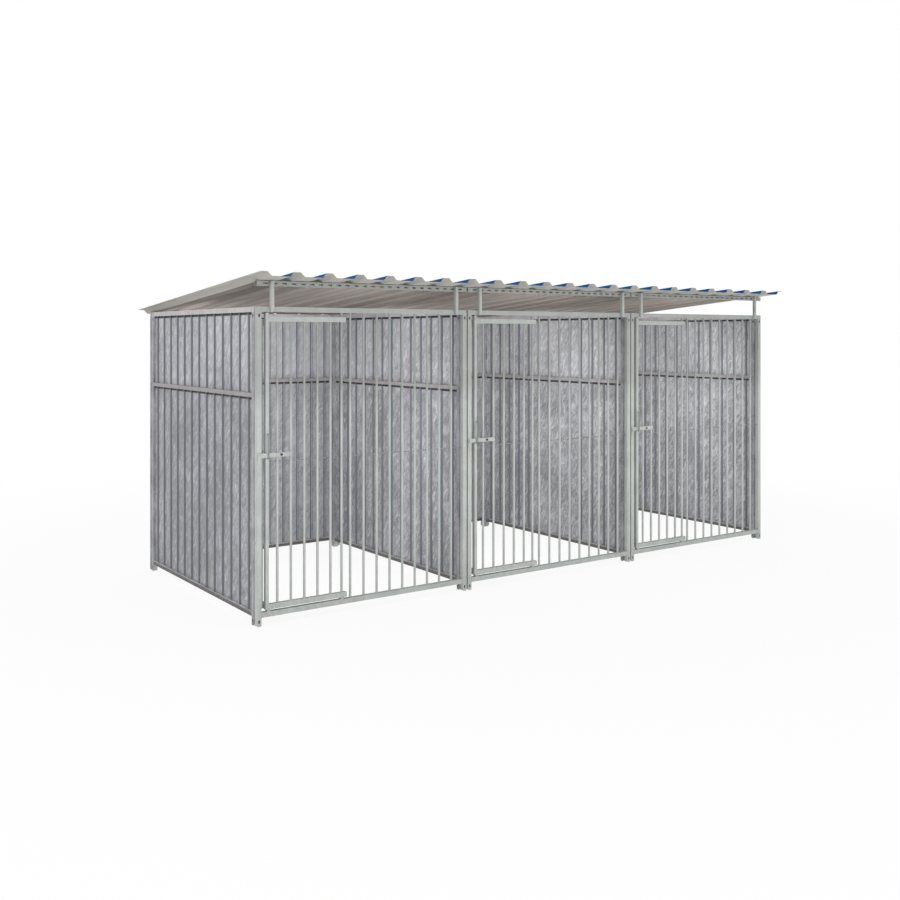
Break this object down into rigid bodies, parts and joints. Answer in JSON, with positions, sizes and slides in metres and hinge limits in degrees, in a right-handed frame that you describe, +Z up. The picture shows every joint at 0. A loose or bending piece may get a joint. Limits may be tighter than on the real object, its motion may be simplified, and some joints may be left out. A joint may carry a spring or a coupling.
{
  "type": "outdoor dog kennel run",
  "caption": "Row of roofed dog kennel bays with barred fronts, swinging barred doors with lift latches, ribbed steel walls and a sloping ribbed roof.",
  "frame": {"origin": "middle of the row's bounding box, on the ground under the feet", "axes": "+X to the right along the row as seen from the front, +Y to the back wall, +Z up"},
  "size_m": [4.598, 2.0724, 2.0354],
  "materials": {
    "zinc_frame": "galvanised",
    "wall_sheet": "galvanised sheet",
    "roof_sheet": "blue coating above, grey below",
    "zinc_bolt": "zinc plated",
    "dark_bolt": "dark",
    "end_plug": "black"
  },
  "bodies": {
    "kennel": {"front_frame_1": "zinc_frame", "front_grille_1": "zinc_frame", "hinge_bar_1": "zinc_frame", "door_stop_1": "zinc_frame", "latch_catch_1": "zinc_frame", "roof_beam_1": "zinc_frame", "roof_posts_1": "zinc_frame", "roof_sheet_1": "roof_sheet", "back_frame_1": "zinc_frame", "back_sheets_1": "wall_sheet", "front_frame_2": "zinc_frame", "front_grille_2": "zinc_frame", "hinge_bar_2": "zinc_frame", "door_stop_2": "zinc_frame", "latch_catch_2": "zinc_frame", "roof_beam_2": "zinc_frame", "roof_posts_2": "zinc_frame", "roof_sheet_2": "roof_sheet", "back_frame_2": "zinc_frame", "back_sheets_2": "wall_sheet", "front_frame_3": "zinc_frame", "front_grille_3": "zinc_frame", "hinge_bar_3": "zinc_frame", "door_stop_3": "zinc_frame", "latch_catch_3": "zinc_frame", "roof_beam_3": "zinc_frame", "roof_posts_3": "zinc_frame", "roof_sheet_3": "roof_sheet", "back_frame_3": "zinc_frame", "back_sheets_3": "wall_sheet", "side_frame_left": "zinc_frame", "side_frame_right": "zinc_frame", "side_sheets_left": "wall_sheet", "side_sheets_right": "wall_sheet", "partition_frame_1": "zinc_frame", "partition_frame_2": "zinc_frame", "partition_sheets_1": "wall_sheet", "partition_sheets_2": "wall_sheet", "door_rests": "zinc_frame", "panel_bolts": "zinc_bolt", "roof_screws": "zinc_bolt"},
    "door_1": {"door_frame_1": "zinc_frame", "door_grille_1": "zinc_frame", "door_plugs_1": "end_plug", "latch_guide_1": "zinc_frame", "latch_pivot_1": "dark_bolt"},
    "latch_1": {"latch_bar_1": "zinc_frame"},
    "door_2": {"door_frame_2": "zinc_frame", "door_grille_2": "zinc_frame", "door_plugs_2": "end_plug", "latch_guide_2": "zinc_frame", "latch_pivot_2": "dark_bolt"},
    "latch_2": {"latch_bar_2": "zinc_frame"},
    "door_3": {"door_frame_3": "zinc_frame", "door_grille_3": "zinc_frame", "door_plugs_3": "end_plug", "latch_guide_3": "zinc_frame", "latch_pivot_3": "dark_bolt"},
    "latch_3": {"latch_bar_3": "zinc_frame"}
  },
  "joints": [
    {"name": "door_1_hinge", "type": "hinge", "parent": "kennel", "child": "door_1", "pos_m": [-1.683, -0.85122, 0.95], "axis": [0, 0, 1], "range_deg": [0, 120]},
    {"name": "latch_1_lift", "type": "hinge", "parent": "door_1", "child": "latch_1", "pos_m": [-2.092, -0.86972, 0.982], "axis": [0, 1, 0], "range_deg": [0, 35]},
    {"name": "door_2_hinge", "type": "hinge", "parent": "kennel", "child": "door_2", "pos_m": [-0.183, -0.85122, 0.95], "axis": [0, 0, 1], "range_deg": [0, 120]},
    {"name": "latch_2_lift", "type": "hinge", "parent": "door_2", "child": "latch_2", "pos_m": [-0.592, -0.86972, 0.982], "axis": [0, 1, 0], "range_deg": [0, 35]},
    {"name": "door_3_hinge", "type": "hinge", "parent": "kennel", "child": "door_3", "pos_m": [1.317, -0.85122, 0.95], "axis": [0, 0, 1], "range_deg": [0, 120]},
    {"name": "latch_3_lift", "type": "hinge", "parent": "door_3", "child": "latch_3", "pos_m": [0.908, -0.86972, 0.982], "axis": [0, 1, 0], "range_deg": [0, 35]}
  ]
}
